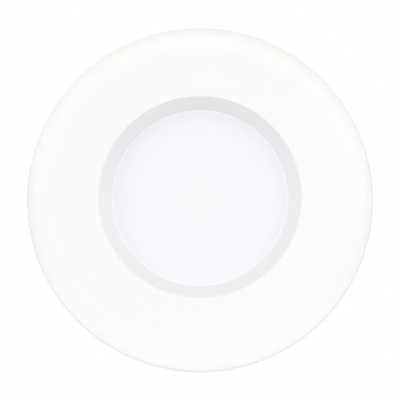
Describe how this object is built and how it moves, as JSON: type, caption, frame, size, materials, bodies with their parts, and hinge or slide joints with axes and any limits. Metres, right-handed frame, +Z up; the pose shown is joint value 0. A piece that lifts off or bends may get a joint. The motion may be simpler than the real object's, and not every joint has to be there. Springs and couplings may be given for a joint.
{
  "type": "recessed light",
  "caption": "Round recessed ceiling light with a flat white bezel, shallow cone and frosted lens, sprung fixing clips, finned heat sink, driver and terminal box.",
  "frame": {"origin": "on the light's axis, in the plane of the ceiling's lower face, where the foam gasket meets it", "axes": "+Z up into the ceiling void along the body, away from the light's face; +X through the right-hand clip"},
  "size_m": [0.088, 0.088, 0.0738],
  "materials": {
    "white_coat": "satin",
    "opal_lens": "frosted",
    "cast_aluminium": "satin",
    "zinc_steel": "zinc plated",
    "spring_steel": "polished",
    "nickel": "polished",
    "black_foam": "matte",
    "clear_silicone": "satin",
    "black_rubber": "matte",
    "grey_pad": "matte",
    "white_substrate": "satin",
    "phosphor": "satin",
    "white_plastic": "satin",
    "white_gloss": "gloss",
    "grey_plastic": "fine grain",
    "black_plastic": "satin",
    "board_green": "satin",
    "ferrite": "matte",
    "yellow_tape": "satin",
    "capacitor_sleeve": "satin",
    "fuse_body": "satin",
    "red_insulation": "satin",
    "black_insulation": "satin",
    "brown_insulation": "satin",
    "blue_insulation": "satin",
    "brass": "satin"
  },
  "bodies": {
    "main": {"lens": "opal_lens", "lens_gasket": "clear_silicone", "lens_ring": "zinc_steel", "ceiling_gasket": "black_foam", "heat_sink": "cast_aluminium", "thermal_pad": "grey_pad", "led_substrate": "white_substrate", "led_phosphor": "phosphor", "led_holder": "white_plastic", "led_holder_screw_1": "zinc_steel", "led_holder_screw_2": "zinc_steel", "reflector": "white_gloss", "led_lead_black": "black_insulation", "led_lead_red": "red_insulation", "driver_base": "grey_plastic", "driver_housing": "grey_plastic", "driver_board": "board_green", "transformer_core": "ferrite", "transformer_winding": "yellow_tape", "input_capacitor": "capacitor_sleeve", "output_capacitor": "capacitor_sleeve", "choke": "ferrite", "rectifier": "black_plastic", "controller_chip": "black_plastic", "fuse": "fuse_body", "mains_lead_brown": "brown_insulation", "mains_lead_blue": "blue_insulation", "terminal_box": "grey_plastic", "box_screws": "zinc_steel", "cable_clamp_1": "grey_plastic", "cable_clamp_2": "grey_plastic", "cable_clamp_screws": "zinc_steel", "terminal_block": "white_plastic", "terminal_clamps": "brass", "terminal_screws": "zinc_steel", "lid_hinge_pin": "zinc_steel", "lens_ring_screw_1": "zinc_steel", "bezel_magnet_1": "nickel", "driver_screw_1": "zinc_steel", "lens_ring_screw_2": "zinc_steel", "bezel_magnet_2": "nickel", "driver_screw_2": "zinc_steel", "lens_ring_screw_3": "zinc_steel", "bezel_magnet_3": "nickel", "driver_screw_3": "zinc_steel", "left_clip_bracket": "zinc_steel", "left_clip_screws": "zinc_steel", "left_clip_pin": "zinc_steel", "right_clip_bracket": "zinc_steel", "right_clip_screws": "zinc_steel", "right_clip_pin": "zinc_steel"},
    "bezel_body": {"bezel": "white_coat"},
    "lid": {"terminal_lid": "grey_plastic"},
    "left_clip": {"left_clip_arm": "spring_steel", "left_torsion_spring": "spring_steel", "left_clip_pad": "black_rubber"},
    "right_clip": {"right_clip_arm": "spring_steel", "right_torsion_spring": "spring_steel", "right_clip_pad": "black_rubber"}
  },
  "joints": [
    {"name": "left_clip_hinge", "type": "hinge", "parent": "main", "child": "left_clip", "pos_m": [-0.0309, 0, 0.025], "axis": [0, 1, 0], "range_deg": [0, 157], "stiffness_Nm_per_rad": 0.05, "springref_deg": -34.38, "deforming": ["left_torsion_spring"]},
    {"name": "right_clip_hinge", "type": "hinge", "parent": "main", "child": "right_clip", "pos_m": [0.0309, 0, 0.025], "axis": [0, -1, 0], "range_deg": [0, 157], "stiffness_Nm_per_rad": 0.05, "springref_deg": -34.38, "deforming": ["right_torsion_spring"]},
    {"name": "bezel_slide", "type": "slide", "parent": "main", "child": "bezel_body", "axis": [0, 0, -1], "range_m": [0, 0.03]},
    {"name": "lid_hinge", "type": "hinge", "parent": "main", "child": "lid", "pos_m": [-0.024, 0, 0.0651], "axis": [0, -1, 0], "range_deg": [0, 115]}
  ]
}
